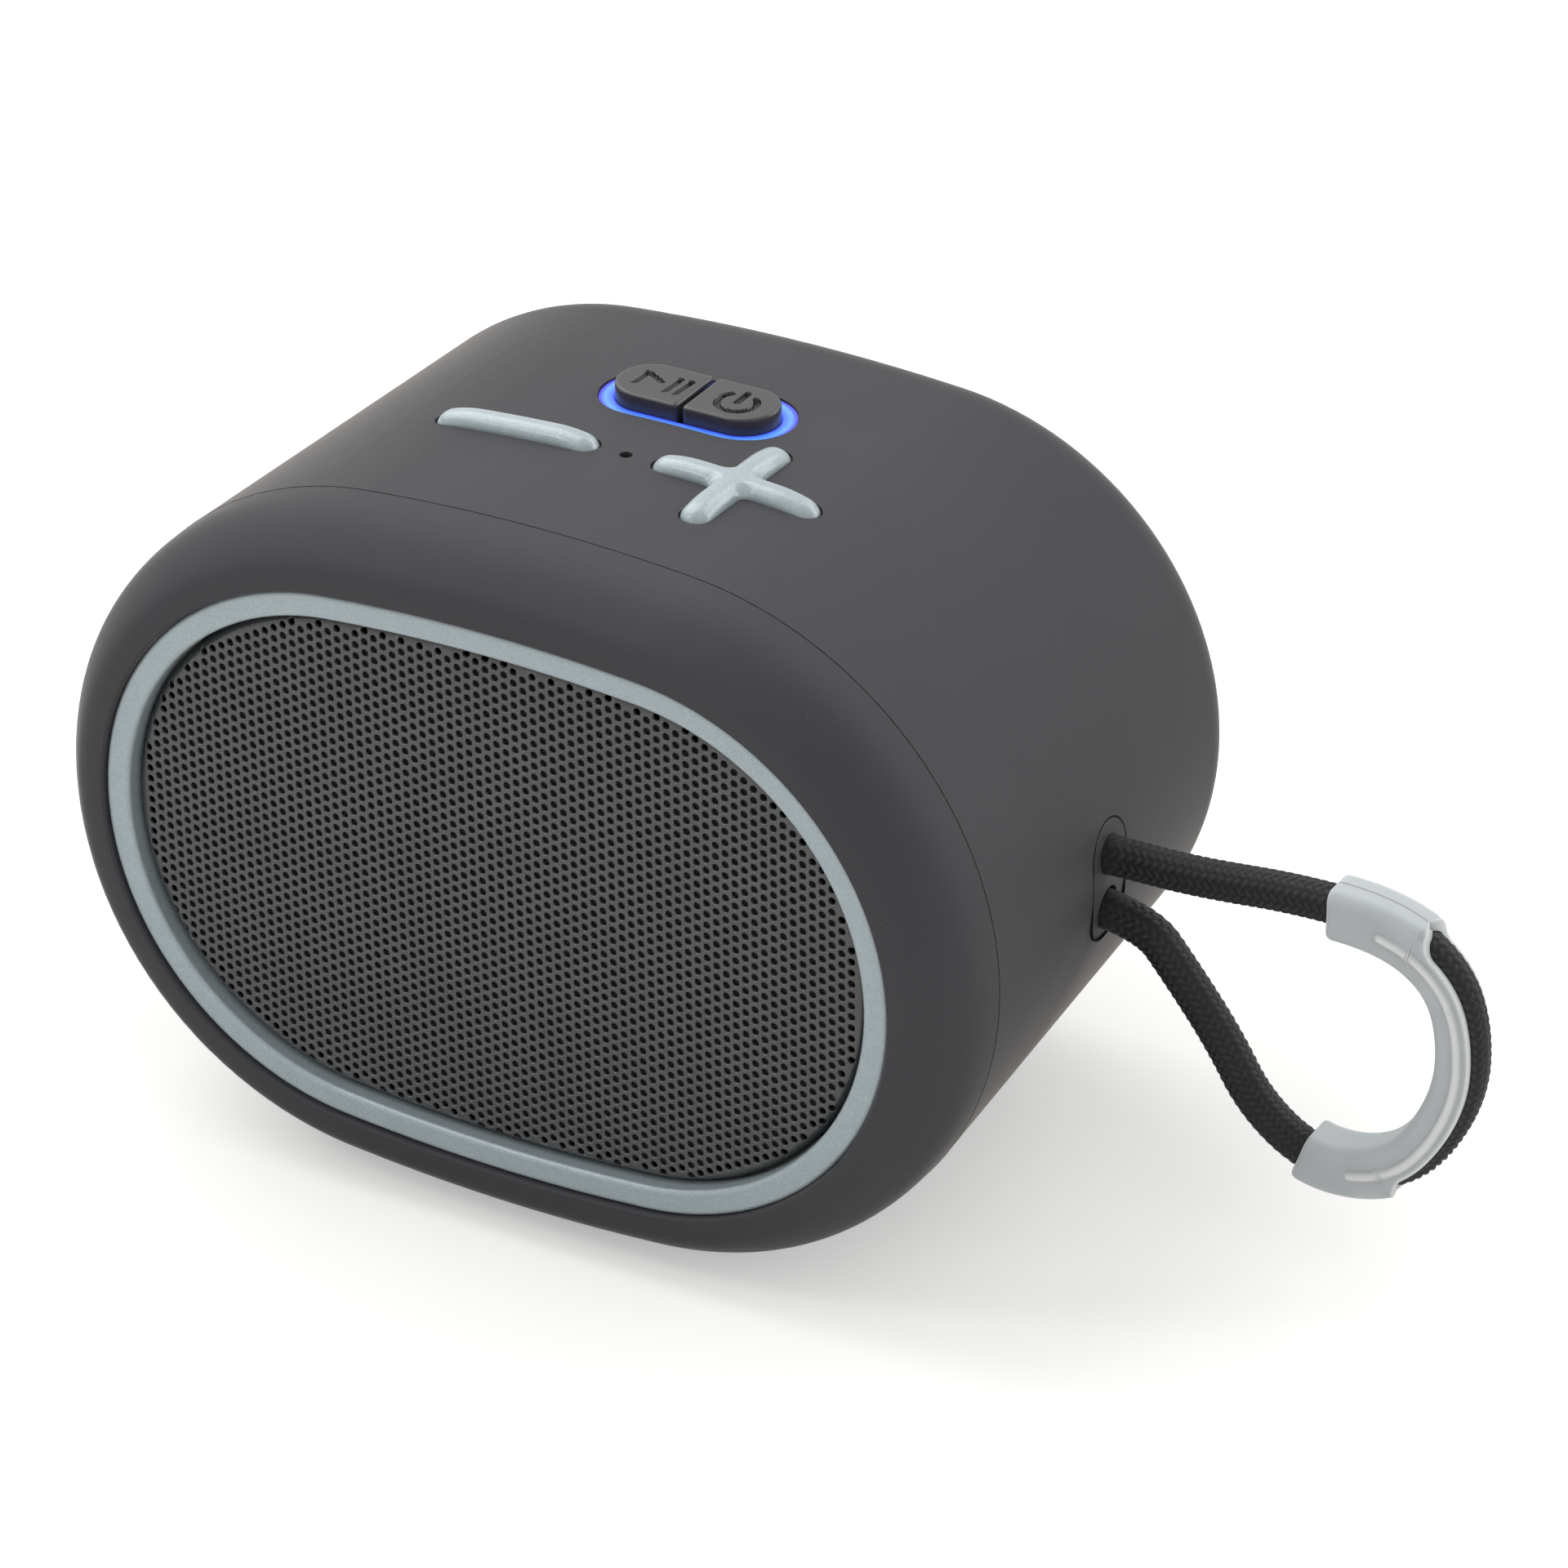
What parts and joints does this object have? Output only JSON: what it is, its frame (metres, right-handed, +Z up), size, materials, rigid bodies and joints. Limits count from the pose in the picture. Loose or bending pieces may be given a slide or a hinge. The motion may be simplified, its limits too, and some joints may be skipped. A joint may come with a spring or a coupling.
{
  "type": "shower speaker",
  "caption": "Small oval portable speaker with a perforated front grille, raised keys on top, a lit key capsule and a braided cord loop with a rubber grip.",
  "frame": {"origin": "on the table, under the middle of the housing, without the cord loop", "axes": "+Z up, the grille faces -Y, the cord loop leaves on +X"},
  "size_m": [0.1472, 0.067, 0.0785],
  "materials": {
    "soft_shell": "soft-touch lacquer on moulded ABS, matt",
    "soft_bezel": "soft-touch elastomer over the moulded bezel, matt",
    "ring_paint": "satin pearl paint",
    "key_paint": "satin pearl paint",
    "grille_steel": "perforated steel, semi-matt powder coat",
    "mesh_cloth": "fine water-repelling acoustic mesh",
    "pad_plastic": "semi-gloss lacquer with engraved symbols",
    "light_guide": "milky light guide",
    "cord_braid": "braided polyester",
    "grip_rubber": "translucent moulded silicone rubber",
    "plug_plastic": "moulded, matt",
    "cover_rubber": "moulded silicone rubber, matt",
    "foot_rubber": "moulded rubber, matt",
    "seal_rubber": "moulded rubber",
    "surround_rubber": "moulded butyl rubber",
    "frame_steel": "black coated pressed steel",
    "zinc_steel": "zinc-plated steel",
    "screw_steel": "zinc-plated steel",
    "ferrite": "sintered ferrite",
    "spider_cloth": "resin-dipped corrugated cloth",
    "cone_paper": "coated paper pulp",
    "coil_copper": "enamelled copper winding",
    "board_laminate": "green solder mask on glass laminate",
    "switch_plastic": "moulded, black",
    "led_lens": "clear lens",
    "cell_sleeve": "shrink sleeve",
    "foam": "closed-cell foam"
  },
  "bodies": {
    "housing": {"rear_shell": "soft_shell", "front_bezel": "soft_bezel", "bezel_gasket": "seal_rubber", "trim_ring": "ring_paint", "grille": "grille_steel", "grille_cloth": "mesh_cloth", "driver_basket": "frame_steel", "driver_gasket": "seal_rubber", "top_plate": "zinc_steel", "magnet": "ferrite", "yoke": "zinc_steel", "surround": "surround_rubber", "spider": "spider_cloth", "light_ring": "light_guide", "key_board": "board_laminate", "tact_switches": "switch_plastic", "ring_leds": "led_lens", "mic_capsule": "zinc_steel", "mic_boot": "seal_rubber", "main_board": "board_laminate", "usb_socket": "zinc_steel", "aux_socket": "switch_plastic", "battery": "cell_sleeve", "battery_pads": "foam", "bezel_screws": "screw_steel", "driver_screws": "screw_steel", "key_board_screws": "screw_steel", "main_board_screws": "screw_steel", "left_foot": "foot_rubber", "right_foot": "foot_rubber", "strap_plug": "plug_plastic", "strap_anchor": "plug_plastic", "strap_cord": "cord_braid", "strap_grip": "grip_rubber"},
    "minus_button": {"minus_key": "key_paint", "minus_plunger": "switch_plastic"},
    "plus_button": {"plus_key": "key_paint", "plus_plunger": "switch_plastic"},
    "play_button": {"play_key": "pad_plastic", "play_plunger": "switch_plastic"},
    "power_button": {"power_key": "pad_plastic", "power_plunger": "switch_plastic"},
    "cover": {"port_cover": "cover_rubber"},
    "diaphragm": {"cone": "cone_paper", "dust_cap": "cone_paper", "voice_coil": "coil_copper"}
  },
  "joints": [
    {"name": "minus_press", "type": "slide", "parent": "housing", "child": "minus_button", "axis": [0, 0, -1], "range_m": [0, 0.0005], "stiffness_N_per_m": 1500, "springref_m": -0.0001},
    {"name": "plus_press", "type": "slide", "parent": "housing", "child": "plus_button", "axis": [0, 0, -1], "range_m": [0, 0.0005], "stiffness_N_per_m": 1500, "springref_m": -0.0001},
    {"name": "play_press", "type": "slide", "parent": "housing", "child": "play_button", "axis": [0, 0, -1], "range_m": [0, 0.0005], "stiffness_N_per_m": 1500, "springref_m": -0.0001},
    {"name": "power_press", "type": "slide", "parent": "housing", "child": "power_button", "axis": [0, 0, -1], "range_m": [0, 0.0005], "stiffness_N_per_m": 1500, "springref_m": -0.0001},
    {"name": "cover_hinge", "type": "hinge", "parent": "housing", "child": "cover", "pos_m": [0, 0.03285, 0.03415], "axis": [-1, 0, 0], "range_deg": [0, 90]},
    {"name": "diaphragm_stroke", "type": "slide", "parent": "housing", "child": "diaphragm", "axis": [0, -1, 0], "range_m": [-0.001, 0.001], "stiffness_N_per_m": 1200, "deforming": ["surround", "spider"]}
  ]
}
